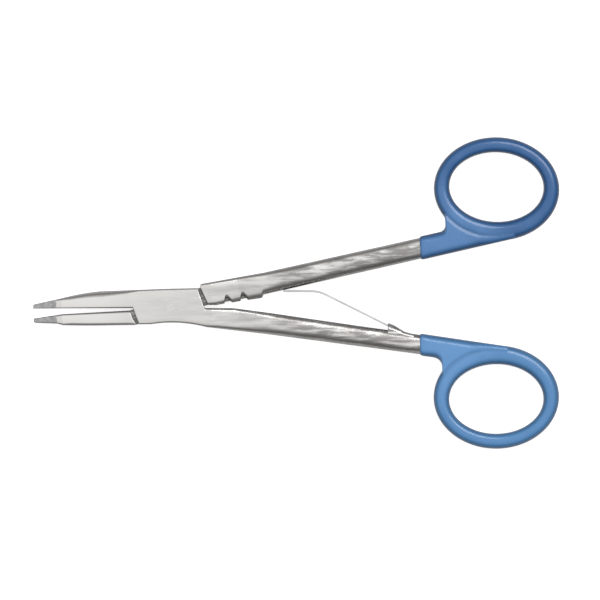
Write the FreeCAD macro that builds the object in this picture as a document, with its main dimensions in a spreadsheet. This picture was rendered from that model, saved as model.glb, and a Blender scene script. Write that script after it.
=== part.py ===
import FreeCAD, Part
import math
import os
import Sketcher

# Ligating clip applier of the box lock kind, lying flat, at its real size in millimetres.
# The origin is on the pivot axis in the plane that the tool rests on. X runs along the
# closure line towards the finger rings, Z is up, and the box half stays level in the frame.
# Each half is drawn closed, its jaw on the far side of the closure line from its shank.
# The pass half is the mirror of the same form and is turned by the opening angle.

SIZES = (
    ("forging_thickness", 5.6, "full thickness at the box lock"),
    ("shank_thickness", 4.6, "thickness of the bare shanks and of the steel in the rings"),
    ("opening_angle", 3.0, "degrees that the pass half stands open"),
    ("closed_gap", 0.03, "each jaw face stops this far from the closure line"),
    ("jaw_length", 39.85, "pivot to the fingertips"),
    ("finger_length", 6.7, "dark gripping finger at the end of each jaw"),
    ("shoulder_length", 1.7, "taper between the finger and the jaw"),
    ("box_jaw_rise", 5.5, "outer edge of the box half's jaw above the closure line"),
    ("box_jaw_mid", 5.1, "the same edge where it starts to curve"),
    ("box_jaw_neck", 3.3, "the same edge where the shoulder starts"),
    ("box_finger_root", 2.92, "the same edge where the finger starts"),
    ("pass_jaw_rise", 4.4, "outer edge of the pass half's jaw at the box"),
    ("pass_jaw_mid", 3.8, "the same edge where it starts to curve"),
    ("pass_jaw_neck", 2.95, "the same edge where the shoulder starts"),
    ("pass_finger_root", 2.35, "the same edge where the finger starts"),
    ("fingertip_rise", 1.75, "outer edge of a finger near its tip"),
    ("fingertip_rounding", 0.9, "length of the rounded nose of a finger"),
    ("box_jaw_bow", 0.22, "how far the narrowing part of the box half's jaw bulges"),
    ("pass_jaw_bow", 0.06, "the same bulge of the pass half's jaw"),
    ("meeting_rise", 0.3, "height of the jaws' meeting line at the shoulder"),
    ("finger_relief", 0.4, "how far a fingertip's inner face draws back for the clip"),
    ("jaw_curve_start", 20.5, "pivot to where the jaws start to narrow"),
    ("jaw_end_thickness", 3.1, "jaw thickness at the shoulder"),
    ("finger_thickness", 2.3, "finger thickness at its root"),
    ("fingertip_thickness", 2.0, "finger thickness at its tip"),
    ("clip_groove_width", 0.9, "width of the groove that holds a clip leg"),
    ("clip_groove_depth", 0.5, "depth of that groove"),
    ("clip_groove_length", 6.2, "length of that groove from the fingertip"),
    ("jaw_slit_reach", 11.4, "pivot to the slit at the jaw end of the box, on the closure line"),
    ("shank_slit_reach", 10.4, "pivot to the slit at the shank end of the box"),
    ("slit_lean", 20.0, "degrees that the slits lean"),
    ("slit_width", 0.85, "gap between a cheek and the pass half's shoulders"),
    ("box_waist", 4.42, "lower edge of the box below the closure line at its waist"),
    ("box_waist_reach", 1.5, "pivot to the waist"),
    ("box_heel", 4.75, "the same edge at the jaw end of the box"),
    ("box_heel_length", 3.5, "length of the level edge at the jaw end of the box"),
    ("tongue_thickness", 1.9, "thickness of the pass half's tongue in the box"),
    ("tongue_side_gap", 0.05, "running gap on each flat side of the tongue"),
    ("tongue_edge_gap", 0.25, "gap between the tongue's edges and the window"),
    ("tongue_jaw_edge", 4.3, "tongue edge above the closure line at the jaw slit"),
    ("tongue_shank_edge", 5.2, "tongue edge below the closure line at the shank slit"),
    ("tongue_lap", 0.6, "how far the tongue's corners run past the slits into jaw and shank"),
    ("pin_diameter", 2.6, "pivot pin"),
    ("pin_running_gap", 0.03, "radial running clearance of the pin in the tongue"),
    ("pin_chamfer", 0.12, "bevel on the pin's ends"),
    ("shank_shoulder", 9.2, "pivot to where the pass half's shank starts"),
    ("crotch_gap", 0.35, "shank edge below the closure line beside the box"),
    ("crotch_length", 8.5, "length of the straight inner edge of the box half beside the box"),
    ("crotch_fall", 0.2, "how far this edge falls over that length"),
    ("shank_heel_outer", 6.2, "outer edge of the pass half's shank where it starts"),
    ("box_heel_outer", 5.9, "outer edge of the box half's shank beside the box"),
    ("thinning_start", 11.9, "pivot to where the jaws and shanks start to get thinner"),
    ("thinning_length", 8.0, "length over which the shanks get thinner"),
    ("flat_length", 28.0, "pivot to where the shanks turn from flat to round"),
    ("flat_end_inner", 1.95, "inner shank edge below the closure line at that place"),
    ("flat_end_outer", 8.25, "outer shank edge below the closure line at that place"),
    ("coating_lead", 20.6, "start of both coatings before the centre of the nearer ring"),
    ("shank_end_outer", 15.05, "outer shank edge below the closure line at that place"),
    ("tooth_count", 3, "teeth on the inner edge of the pass half's shank"),
    ("tooth_start", 13.2, "pivot to the first tooth"),
    ("tooth_pitch", 4.7, "distance from tooth to tooth"),
    ("tooth_notch", 1.7, "length of the notch behind each tooth"),
    ("tooth_depth", 1.5, "depth of that notch"),
    ("tooth_slope_length", 0.5, "length of the slope at each side of a notch"),
    ("tooth_row_start", -0.2, "teeth below the closure line where their row starts"),
    ("tooth_row_end", 1.0, "teeth below the closure line where their row ends"),
    ("tooth_web_depth", 3.2, "depth of the thin web that closes the notches at mid-height"),
    ("ring_half_length", 13.65, "half the length of the finger opening"),
    ("ring_half_width", 10.05, "half the width of the finger opening"),
    ("ring_end_band", 4.55, "width of the coated band at the ends of a ring"),
    ("ring_side_band", 4.95, "mean width of the coated band at the sides of a ring"),
    ("ring_inward_shift", 0.55, "outline moved towards the closure line, for a thicker inner side"),
    ("box_ring_reach", 94.0, "pivot to the centre of the box half's ring, along the closure line"),
    ("box_ring_drop", 28.24, "the same centre below the closure line"),
    ("box_ring_tilt", -0.5, "degrees that this ring turns from the closure line"),
    ("pass_ring_reach", 96.77, "pivot to the centre of the pass half's ring"),
    ("pass_ring_drop", 28.19, "the same centre below the closure line"),
    ("pass_ring_tilt", 6.05, "degrees that this ring turns from the closure line"),
    ("coating_thickness", 0.4, "blue coating over the steel"),
    ("coating_web_radius", 3.0, "inside corner between shank and ring, over the coating"),
    ("coating_rounding", 2.1, "rounding of the coated edges"),
    ("steel_rounding", 1.7, "rounding of the shank and ring steel edges"),
    ("boss_end_gap", 2.5, "bare shank between the spring boss and the coating"),
    ("boss_rise", 2.1, "height of the boss above the shank's inner edge"),
    ("boss_top_length", 2.6, "length of the boss's top"),
    ("boss_top_fall", 0.5, "how far the top falls over that length"),
    ("boss_slope_length", 5.4, "length of the slope behind it"),
    ("boss_thickness", 3.8, "thickness of the boss"),
    ("spring_thickness", 0.6, "thickness of the leaf spring"),
    ("spring_width", 2.6, "width of the leaf spring"),
    ("spring_root_depth", 3.4, "length of the spring inside its boss"),
    ("spring_cover", 0.3, "steel over the spring in its boss"),
    ("spring_bend_reach", 43.2, "pivot to the bend in the spring, along the closure line"),
    ("spring_bend_rise", 3.9, "the bend above the closure line"),
    ("spring_bend_length", 3.0, "length of spring that curves at each side of the bend"),
    ("spring_tip_reach", 32.8, "pivot to the free end of the spring"),
    ("spring_tip_gap", 0.1, "gap between the free end and the shank that it bears on"),
    ("spring_slot_gap", 0.02, "clearance round the spring in its slot"),
)

# What the plan sketches need beyond the real sizes, to cut past an edge.
PAST = 3.0


def make_sheet(doc):
    """Write the driving sizes into a sheet, one row each, with the name as alias."""
    sheet = doc.addObject("Spreadsheet::Sheet", "sizes")
    for row, (name, size, note) in enumerate(SIZES, start=1):
        sheet.set("A%d" % row, name)
        sheet.set("B%d" % row, str(size))
        sheet.set("C%d" % row, note)
        sheet.setAlias("B%d" % row, name)
    doc.recompute()
    return sheet


doc = FreeCAD.newDocument("clip_applier")
sheet = make_sheet(doc)


def size(name):
    """One driving size from the sheet."""
    return float(sheet.get(name))


def point(x, y):
    """A point in a sketch plane."""
    return FreeCAD.Vector(x, y, 0)


def origin_plane(body, role):
    """One of the body's own origin planes."""
    for feature in body.Origin.OriginFeatures:
        if feature.Role == role:
            return feature
    raise RuntimeError("no plane " + role)


def new_body(label):
    """An empty body whose label names its file."""
    body = doc.addObject("PartDesign::Body", label)
    body.Label = label
    return body


def draw(body, name, role, wires):
    """A sketch on an origin plane that holds closed wires, with every edge fixed in place."""
    sketch = body.newObject("Sketcher::SketchObject", name)
    sketch.AttachmentSupport = [(origin_plane(body, role), "")]
    sketch.MapMode = "FlatFace"
    for wire in wires:
        for edge in wire:
            index = sketch.addGeometry(edge, False)
            sketch.addConstraint(Sketcher.Constraint("Block", index))
    return sketch


def draw_circle(body, name, centre, diameter):
    """A sketch with one circle whose diameter is an expression of the sheet."""
    sketch = body.newObject("Sketcher::SketchObject", name)
    sketch.AttachmentSupport = [(origin_plane(body, "XY_Plane"), "")]
    sketch.MapMode = "FlatFace"
    circle = sketch.addGeometry(Part.Circle(centre, FreeCAD.Vector(0, 0, 1), 1.0), False)
    sketch.addConstraint(Sketcher.Constraint("DistanceX", -1, 1, circle, 3, centre.x))
    sketch.addConstraint(Sketcher.Constraint("DistanceY", -1, 1, circle, 3, centre.y))
    bound = sketch.addConstraint(Sketcher.Constraint("Diameter", circle, 2.0))
    sketch.setExpression("Constraints[%d]" % bound, diameter)
    return sketch


def chain(points):
    """Straight edges through the points in turn, without closing them."""
    return [Part.LineSegment(a, b) for a, b in zip(points, points[1:])]


def polygon(points):
    """A closed ring of straight edges."""
    return chain(points + points[:1])


def pad(body, name, sketch, length):
    """Material equally to both sides of the sketch."""
    feature = body.newObject("PartDesign::Pad", name)
    feature.Profile = sketch
    feature.Midplane = True
    feature.setExpression("Length", length)
    doc.recompute()
    return feature


def pocket(body, name, sketch, length):
    """A cut equally to both sides of the sketch, which has to remove something."""
    before = body.Shape.Volume
    feature = body.newObject("PartDesign::Pocket", name)
    feature.Profile = sketch
    feature.Midplane = True
    feature.setExpression("Length", length)
    doc.recompute()
    if body.Shape.Volume > before - 1e-6:
        raise RuntimeError(name + " cuts nothing")
    return feature


def dress(body, name, kind, amount, wanted):
    """A fillet or chamfer on the edges of the body's tip that the test accepts."""
    base = body.Tip
    edges = ["Edge%d" % (i + 1) for i, edge in enumerate(base.Shape.Edges) if wanted(edge)]
    if not edges:
        raise RuntimeError(name + " finds no edge")
    feature = body.newObject("PartDesign::" + kind, name)
    feature.Base = (base, edges)
    feature.setExpression("Radius" if kind == "Fillet" else "Size", amount)
    doc.recompute()
    if "Invalid" in feature.State:
        raise RuntimeError(name + " fails")
    return feature


def level(edge, height):
    """True where the whole edge lies at one height."""
    box = edge.BoundBox
    return abs(box.ZMin - height) < 1e-4 and abs(box.ZMax - height) < 1e-4


def upright(edge):
    """True where the edge runs straight up."""
    box = edge.BoundBox
    return box.XLength < 1e-4 and box.YLength < 1e-4


def coating_start():
    """Reach at which both coatings start."""
    return min(size("box_ring_reach"), size("pass_ring_reach")) - size("coating_lead")


def boss_front():
    """Reach of the front face of the spring boss."""
    length = size("boss_top_length") + size("boss_slope_length")
    return coating_start() - size("boss_end_gap") - length


class Ring:
    """The finger ring of one half: an oval opening in a larger oval, moved inwards."""

    def __init__(self, reach, drop, tilt, side, cover):
        """side is 1 for the box half and -1 for its mirror; cover is 1 over the coating."""
        self.side = side
        hidden = (1 - cover) * size("coating_thickness")
        self.angle = math.radians(side * tilt)
        self.opening_centre = point(reach, -side * drop)
        shift = size("ring_inward_shift")
        self.centre = self.opening_centre + point(0, side * shift)
        self.opening = (size("ring_half_length") + hidden, size("ring_half_width") + hidden)
        self.outline = (
            size("ring_half_length") + size("ring_end_band") - hidden,
            size("ring_half_width") + size("ring_side_band") - hidden,
        )

    def turned(self, x, y):
        """A vector given along the ring's own axes, in the frame of the half."""
        c, s = math.cos(self.angle), math.sin(self.angle)
        return point(c * x - s * y, s * x + c * y)

    def oval(self, centre, halves):
        """The full ellipse with these half axes."""
        end = centre + self.turned(halves[0], 0)
        flank = centre + self.turned(0, halves[1])
        return Part.Ellipse(end, flank, centre)

    def scaled(self, vector):
        """A vector turned into the frame in which the outline is the unit circle."""
        c, s = math.cos(self.angle), math.sin(self.angle)
        a, b = self.outline
        return point((c * vector.x + s * vector.y) / a, (-s * vector.x + c * vector.y) / b)

    def place(self, parameter):
        """The point of the outline at this parameter."""
        a, b = self.outline
        return self.centre + self.turned(a * math.cos(parameter), b * math.sin(parameter))

    def tangent_from(self, start):
        """The parameter where the line from start touches the side near the closure line."""
        out = self.scaled(start - self.centre)
        heading = math.atan2(out.y, out.x)
        return heading - self.side * math.acos(1.0 / out.Length)

    def crossing(self, start, end):
        """The parameter where the line from start through end first meets the outline."""
        p = self.scaled(start - self.centre)
        d = self.scaled(end - start)
        a = d.dot(d)
        b = p.dot(d)
        c = p.dot(p) - 1.0
        t = (-b - math.sqrt(b * b - a * c)) / a
        hit = p + d * t
        return math.atan2(hit.y, hit.x)

    def arc(self, touch, cross):
        """The outline from the touching line round the far end to the crossing line."""
        first, last = (cross, touch) if self.side > 0 else (touch, cross)
        return Part.ArcOfEllipse(self.oval(self.centre, self.outline), first, last)


class Half:
    """The plan of one half. side is 1 for the box half and -1 for the pass half."""

    def __init__(self, side, reach, drop, tilt):
        self.side = side
        self.ring_place = (reach, drop, tilt)

    def at(self, x, y):
        """A point with y given as the box half has it."""
        return point(x, self.side * y)

    def ring(self, cover):
        """The ring's outlines, over the coating or under it."""
        reach, drop, tilt = self.ring_place
        return Ring(reach, drop, tilt, self.side, cover)

    def shank_lines(self, cover):
        """Start of the inner edge, start and end of the outer edge, moved out by the cover."""
        out = cover * size("coating_thickness")
        inner = self.at(size("flat_length"), -size("flat_end_inner") + out)
        outer = self.at(size("flat_length"), -size("flat_end_outer") - out)
        outer_end = self.at(coating_start(), -size("shank_end_outer") - out)
        return inner, outer, outer_end

    def jaw_edge(self, rise, middle, neck, root, bulge):
        """The jaw's outer edge from the box to the fingertip, then its inner face."""
        tip = -size("jaw_length")
        finger = tip + size("finger_length")
        shoulder = finger + size("shoulder_length")
        curve = -size("jaw_curve_start")
        bow = (neck + middle) / 2 + bulge
        end_rise = size("fingertip_rise")
        relief = size("finger_relief")
        long = size("fingertip_rounding")
        edges = chain([self.at(*rise), self.at(curve, middle)])
        edges.append(Part.Arc(self.at(curve, middle), self.at((curve + shoulder) / 2, bow),
                              self.at(shoulder, neck)))
        edges += chain([self.at(shoulder, neck), self.at(finger, root),
                        self.at(tip + long, end_rise)])
        nose = (end_rise + relief) / 2
        share = math.sqrt(0.5)
        edges.append(Part.Arc(
            self.at(tip + long, end_rise),
            self.at(tip + long * (1 - share), nose + (end_rise - nose) * share),
            self.at(tip, nose)))
        edges += chain([self.at(tip, nose), self.at(tip, relief), self.meeting(shoulder)])
        return edges

    def meeting(self, x):
        """The jaw's inner face where it starts at the shoulder, beside the meeting line."""
        return self.at(x, size("closed_gap") + self.side * size("meeting_rise"))

    def slit(self, end, offset, y):
        """A point on a joint slit: end is -1 at the jaw and 1 at the shank."""
        lean = math.radians(size("slit_lean"))
        reach = size("shank_slit_reach") if end > 0 else -size("jaw_slit_reach")
        return self.at(reach + offset / math.cos(lean) - abs(y) * end * math.tan(lean), y)

    def ring_edges(self, cover, inner_start, outer_start, outer_end):
        """The inner edge, the ring and the outer edge, in order from the inner start."""
        ring = self.ring(cover)
        touch = ring.tangent_from(inner_start)
        cross = ring.crossing(outer_start, outer_end)
        return [
            Part.LineSegment(inner_start, ring.place(touch)),
            ring.arc(touch, cross),
            Part.LineSegment(ring.place(cross), outer_start),
        ]


def side_cut(body):
    """Thin the jaws and the shanks from both faces, seen along the tool's flat side."""
    full = size("forging_thickness") / 2
    tip = -size("jaw_length")
    finger = tip + size("finger_length")
    shoulder = finger + size("shoulder_length")
    box = size("thinning_start")
    far = size("pass_ring_reach") + size("ring_half_length") + size("ring_end_band") + PAST
    wires = []
    for face in (1, -1):
        jaw = [
            point(-box, face * full),
            point(shoulder, face * size("jaw_end_thickness") / 2),
            point(finger, face * size("finger_thickness") / 2),
            point(tip - PAST, face * size("fingertip_thickness") / 2),
            point(tip - PAST, face * (full + PAST)),
            point(-box, face * (full + PAST)),
        ]
        shank = [
            point(box, face * full),
            point(box + size("thinning_length"), face * size("shank_thickness") / 2),
            point(far, face * size("shank_thickness") / 2),
            point(far, face * (full + PAST)),
            point(box, face * (full + PAST)),
        ]
        wires += [polygon(jaw), polygon(shank)]
    sketch = draw(body, body.Label + "_side_view", "XZ_Plane", wires)
    return pocket(body, body.Label + "_side_cut", sketch, "2 * sizes.pass_ring_reach")


def clip_groove(body, half):
    """The groove for a clip leg, along the inner face of the finger."""
    tip = half.at(-size("jaw_length"), size("finger_relief"))
    shoulder = half.meeting(-size("jaw_length") + size("finger_length") + size("shoulder_length"))
    depth = size("clip_groove_depth")
    ends = (tip.x - PAST, tip.x + size("clip_groove_length"))
    floor = [point(x, line_at(tip, shoulder, x) + half.side * depth) for x in ends]
    corners = [half.at(ends[0], -PAST), floor[0], floor[1], half.at(ends[1] + depth, -PAST)]
    sketch = draw(body, body.Label + "_groove_plan", "XY_Plane", [polygon(corners)])
    return pocket(body, body.Label + "_groove", sketch, "sizes.clip_groove_width")


def finger_opening(body, half, cover):
    """The oval hole for a finger."""
    ring = half.ring(cover)
    oval = ring.oval(ring.opening_centre, ring.opening)
    sketch = draw(body, body.Label + "_opening_plan", "XY_Plane", [[oval]])
    return pocket(body, body.Label + "_opening", sketch, "2 * sizes.forging_thickness")


def add_grip(body, half, cover, start, thickness, web, rounding):
    """The shank and its ring, from the start on, with rounded edges."""
    inner, outer, outer_end = half.shank_lines(cover)
    edges = half.ring_edges(cover, inner, outer, outer_end)
    begin, touch, cross, end = edges[0].StartPoint, edges[0].EndPoint, edges[2].StartPoint, outer
    if start > begin.x:
        begin = begin + (touch - begin) * ((start - begin.x) / (touch.x - begin.x))
        end = outer_end
    outline = [Part.LineSegment(begin, touch), edges[1], Part.LineSegment(cross, end),
               Part.LineSegment(end, begin)]
    sketch = draw(body, body.Label + "_grip_plan", "XY_Plane", [outline])
    pad(body, body.Label + "_grip", sketch, thickness)
    finger_opening(body, half, cover)

    dress(body, body.Label + "_web", "Fillet", web,
          lambda edge: upright(edge) and near(edge, cross))
    top = size("shank_thickness") / 2 + cover * size("coating_thickness")

    def rim(edge):
        box = edge.BoundBox
        crosswise = box.XLength < 0.5 * box.YLength and box.XMax < max(begin.x, end.x) + 0.01
        return (level(edge, top) or level(edge, -top)) and not crosswise

    return dress(body, body.Label + "_rounding", "Fillet", rounding, rim)


def add_steel_grip(body, half):
    """The bare steel shank and ring of one half."""
    return add_grip(body, half, 0, size("flat_length"), "sizes.shank_thickness",
                    "sizes.coating_web_radius + sizes.coating_thickness", "sizes.steel_rounding")


def near(edge, place):
    """True where an upright edge stands at this place of the plan."""
    box = edge.BoundBox
    return abs(box.XMin - place.x) < 0.01 and abs(box.YMin - place.y) < 0.01


def make_box_half():
    """The half with the box: upper jaw, two cheeks with a window between, lower shank."""
    half = BOX
    body = new_body("box_half")
    edge = size("slit_width") / 2
    rise = size("box_jaw_rise")
    inner, outer = half.shank_lines(0)[:2]
    drop = size("crotch_gap")
    crotch = half.slit(1, -edge, -drop)
    crotch_end = crotch + point(size("crotch_length"), -size("crotch_fall"))
    cheek_low = half.slit(-1, edge, -size("box_heel"))
    heel_end = cheek_low + point(size("box_heel_length"), 0)
    shank_start = half.at(size("shank_slit_reach"), -size("box_heel_outer"))
    outline = half.jaw_edge((0.0, rise), size("box_jaw_mid"), size("box_jaw_neck"),
                            size("box_finger_root"), size("box_jaw_bow"))
    outline += chain([outline[-1].EndPoint, half.slit(-1, edge, size("closed_gap")), cheek_low,
                      heel_end])
    outline.append(Part.Arc(heel_end, half.at(size("box_waist_reach"), -size("box_waist")),
                            shank_start))
    outline += chain([shank_start, outer, inner, crotch_end, crotch, half.slit(1, -edge, 0.0),
                      half.slit(1, -edge, rise), half.at(0.0, rise)])
    add_steel_grip(body, half)
    sketch = draw(body, "box_half_plan", "XY_Plane", [outline])
    pad(body, "box_half_forging", sketch, "sizes.forging_thickness")
    side_cut(body)
    cut_window(body)
    clip_groove(body, half)
    add_boss(body)
    hole = draw_circle(body, "box_half_pin_plan", point(0, 0), "sizes.pin_diameter")
    pocket(body, "box_half_pin_hole", hole, "2 * sizes.forging_thickness")
    return body


def tongue_edges():
    """The tongue's two straight edges in the pass half's closed plan, as four corners."""
    lap = size("tongue_lap")
    jaw_low = PASS.slit(-1, -lap, size("closed_gap"))
    jaw_high = PASS.slit(-1, -lap, size("tongue_jaw_edge"))
    shank_high = PASS.slit(1, lap, 0.0)
    shank_low = PASS.slit(1, lap, -size("tongue_shank_edge"))
    return jaw_low, jaw_high, shank_high, shank_low


def turned(vector, degrees):
    """A plan point turned about the pivot."""
    angle = math.radians(degrees)
    c, s = math.cos(angle), math.sin(angle)
    return point(c * vector.x - s * vector.y, s * vector.x + c * vector.y)


def line_at(a, b, x):
    """Height at x of the line through a and b."""
    return a.y + (b.y - a.y) * (x - a.x) / (b.x - a.x)


def swept_edge(a, b, outwards):
    """Corners of the window edge that clears this tongue edge, closed and open."""
    gap = size("tongue_edge_gap")
    moved = []
    for degrees in (0.0, size("opening_angle")):
        start, end = turned(a, degrees), turned(b, degrees)
        along = (end - start).normalize()
        normal = point(-along.y, along.x) * outwards
        moved.append((start + normal * gap, end + normal * gap))
    reach = size("jaw_slit_reach") + PAST
    best = max if outwards > 0 else min
    left = point(-reach, best(line_at(s, e, -reach) for s, e in moved))
    right = point(reach, best(line_at(s, e, reach) for s, e in moved))
    (a0, b0), (a1, b1) = moved
    slope0 = (b0.y - a0.y) / (b0.x - a0.x)
    slope1 = (b1.y - a1.y) / (b1.x - a1.x)
    x = (a0.y - a1.y - slope0 * a0.x + slope1 * a1.x) / (slope1 - slope0)
    return left, point(x, line_at(a0, b0, x)), right


def cut_window(body):
    """The window between the cheeks that the tongue passes through and swings in."""
    jaw_low, jaw_high, shank_high, shank_low = tongue_edges()
    upper = list(swept_edge(jaw_low, shank_low, 1))
    lower = list(swept_edge(jaw_high, shank_high, -1))
    sketch = draw(body, "box_window_plan", "XY_Plane", [polygon(upper + lower[::-1])])
    return pocket(body, "box_window", sketch,
                  "sizes.tongue_thickness + 2 * sizes.tongue_side_gap")


def boss_line():
    """Two points of the box half's inner shank edge."""
    inner = BOX.shank_lines(0)[0]
    ring = BOX.ring(0)
    return inner, ring.place(ring.tangent_from(inner))


def add_boss(body):
    """The raised boss on the inner edge of the lower shank, with the spring's slot."""
    a, b = boss_line()
    front = boss_front()
    top = front + size("boss_top_length")
    back = top + size("boss_slope_length")
    crest = line_at(a, b, front) + size("boss_rise")
    sunk = size("shank_thickness") / 2
    corners = [
        point(front, line_at(a, b, front) - sunk), point(front, crest),
        point(top, crest - size("boss_top_fall")), point(back, line_at(a, b, back)),
        point(back, line_at(a, b, back) - sunk),
    ]
    sketch = draw(body, "boss_plan", "XY_Plane", [polygon(corners)])
    pad(body, "spring_boss", sketch, "sizes.boss_thickness")
    slot = draw(body, "spring_slot_plan", "XY_Plane", [spring_band(size("spring_slot_gap"), True)])
    return pocket(body, "spring_slot", slot, "sizes.spring_width + 2 * sizes.spring_slot_gap")


def spring_root():
    """Where the spring's middle line leaves the boss."""
    a, b = boss_line()
    front = boss_front()
    crest = line_at(a, b, front) + size("boss_rise")
    return point(front, crest - size("spring_cover") - size("spring_thickness") / 2)


def spring_points():
    """The spring's middle line: inner end of the root, bend and free end."""
    root = spring_root()
    bend = point(size("spring_bend_reach"), size("spring_bend_rise"))
    along = (root - bend).normalize()
    inside = root + along * size("spring_root_depth")
    a = turned(PASS.shank_lines(0)[0], size("opening_angle"))
    ring = PASS.ring(0)
    touch = turned(ring.place(ring.tangent_from(PASS.shank_lines(0)[0])), size("opening_angle"))
    reach = size("spring_tip_reach")
    tip_y = line_at(a, touch, reach) - size("spring_tip_gap") - size("spring_thickness") / 2
    return inside, root, bend, point(reach, tip_y)


def spring_band(gap, slot):
    """Closed outline of the spring seen from above, or of its slot with a gap all round."""
    inside, root, bend, tip = spring_points()
    half = size("spring_thickness") / 2 + gap
    along = (bend - root).normalize()
    normal = point(-along.y, along.x)
    if slot:
        out = root + along * PAST
        deep = inside - along * gap
        return polygon([deep + normal * half, out + normal * half,
                        out - normal * half, deep - normal * half])
    level_way = (tip - bend).normalize()
    level_normal = point(-level_way.y, level_way.x)
    a = bend - along * size("spring_bend_length")
    b = bend + level_way * size("spring_bend_length")
    crown = (a + b) * 0.25 + bend * 0.5
    out_way = (normal + level_normal).normalize()
    edges = chain([inside + normal * half, a + normal * half])
    edges.append(Part.Arc(a + normal * half, crown + out_way * half, b + level_normal * half))
    edges += chain([b + level_normal * half, tip + level_normal * half,
                    tip - level_normal * half, b - level_normal * half])
    edges.append(Part.Arc(b - level_normal * half, crown - out_way * half, a - normal * half))
    return edges + chain([a - normal * half, inside - normal * half, inside + normal * half])


def tooth_points(half):
    """Corners of the toothed edge, from the box towards the rings."""
    points = []
    start = size("tooth_start")
    pitch = size("tooth_pitch")
    land = pitch - size("tooth_notch")
    slope = size("tooth_slope_length")
    count = int(size("tooth_count"))
    fall = (size("tooth_row_end") - size("tooth_row_start")) / (count * pitch)
    for i in range(count):
        x = start + i * pitch
        y = -size("tooth_row_start") - fall * (x - start)
        after = y - fall * land
        floor = after - size("tooth_depth")
        points += [half.at(x, y), half.at(x + land - slope, after), half.at(x + land, floor),
                   half.at(x + land + slope, floor)]
    return points[:-2]


def make_pass_half():
    """The half that passes through the box: lower jaw, tongue, upper toothed shank."""
    half = PASS
    body = new_body("pass_half")
    edge = size("slit_width") / 2
    add_steel_grip(body, half)
    jaw_low, jaw_high, shank_high, shank_low = tongue_edges()
    inner = half.shank_lines(0)[0]
    web_end = inner + point(-size("tooth_notch"), half.side * size("crotch_gap"))
    web_deep = half.at(web_end.x, -size("tooth_web_depth"))
    tongue = polygon([jaw_low, jaw_high, shank_high, web_end, web_deep, shank_low])
    sketch = draw(body, "tongue_plan", "XY_Plane", [tongue])
    pad(body, "tongue", sketch, "sizes.tongue_thickness")

    rise = size("pass_jaw_rise")
    outer_corner = half.slit(-1, -edge, rise)
    jaw = half.jaw_edge((outer_corner.x, rise), size("pass_jaw_mid"), size("pass_jaw_neck"),
                        size("pass_finger_root"), size("pass_jaw_bow"))
    jaw += chain([jaw[-1].EndPoint, half.slit(-1, -edge, size("closed_gap")), outer_corner])
    sketch = draw(body, "pass_jaw_plan", "XY_Plane", [jaw])
    pad(body, "pass_jaw", sketch, "sizes.forging_thickness")

    inner, outer = half.shank_lines(0)[:2]
    heel = half.at(size("shank_shoulder"), -size("shank_heel_outer"))
    low = half.slit(1, edge, -size("tongue_shank_edge"))
    high = half.slit(1, edge, 0.0)
    teeth = tooth_points(half)
    shank = polygon([outer, heel, low, high] + teeth + [inner])
    sketch = draw(body, "pass_shank_plan", "XY_Plane", [shank])
    pad(body, "pass_shank", sketch, "sizes.forging_thickness")
    side_cut(body)
    clip_groove(body, half)
    hole = draw_circle(body, "pass_half_pin_plan", point(0, 0),
                       "sizes.pin_diameter + 2 * sizes.pin_running_gap")
    pocket(body, "pass_half_pin_hole", hole, "2 * sizes.forging_thickness")
    return body


def make_coating(half, steel, label):
    """The dipped coating: a slightly larger ring and web with the steel taken out of it."""
    shell = new_body(label + "_outside")
    add_grip(shell, half, 1, coating_start(),
             "sizes.shank_thickness + 2 * sizes.coating_thickness",
             "sizes.coating_web_radius", "sizes.coating_rounding")
    shell.Placement = steel.Placement
    cut = doc.addObject("Part::Cut", label)
    cut.Label = label
    cut.Base = shell
    cut.Tool = steel
    doc.recompute()
    return cut


def make_pin():
    """The pivot pin, flush with both cheeks."""
    body = new_body("pivot_pin")
    sketch = draw_circle(body, "pin_plan", point(0, 0), "sizes.pin_diameter")
    pad(body, "pin_rod", sketch, "sizes.forging_thickness")
    end = size("forging_thickness") / 2
    dress(body, "pin_bevels", "Chamfer", "sizes.pin_chamfer",
          lambda edge: level(edge, end) or level(edge, -end))
    return body


def make_spring():
    """The leaf spring, bent once on its way to the upper shank."""
    body = new_body("leaf_spring")
    sketch = draw(body, "spring_plan", "XY_Plane", [spring_band(0.0, False)])
    pad(body, "spring_strip", sketch, "sizes.spring_width")
    return body


BOX = Half(1, size("box_ring_reach"), size("box_ring_drop"), size("box_ring_tilt"))
PASS = Half(-1, size("pass_ring_reach"), size("pass_ring_drop"), size("pass_ring_tilt"))

middle = FreeCAD.Vector(0, 0, size("forging_thickness") / 2)
level_place = FreeCAD.Placement(middle, FreeCAD.Rotation())
open_place = FreeCAD.Placement(middle, FreeCAD.Rotation(FreeCAD.Vector(0, 0, 1), size("opening_angle")))

box_half = make_box_half()
box_half.Placement = level_place
pass_half = make_pass_half()
pass_half.Placement = open_place
pin = make_pin()
pin.Placement = level_place
spring = make_spring()
spring.Placement = level_place
doc.recompute()
lower_coating = make_coating(BOX, box_half, "lower_ring_coating")
upper_coating = make_coating(PASS, pass_half, "upper_ring_coating")
doc.recompute()

NODES = (box_half, pass_half, pin, spring, lower_coating, upper_coating)

for item in doc.Objects:
    if "Invalid" in item.State or "Error" in item.State:
        raise RuntimeError(item.Label + " failed: " + str(item.State))

os.makedirs("parts", exist_ok=True)
for node in NODES:
    shape = node.Shape
    if shape.isNull() or not shape.isValid():
        raise RuntimeError(node.Label + " has no valid shape")
    print("%-22s solids %d volume %.1f" % (node.Label, len(shape.Solids), shape.Volume))
    shape.exportStep("parts/" + node.Label + ".step")
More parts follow.
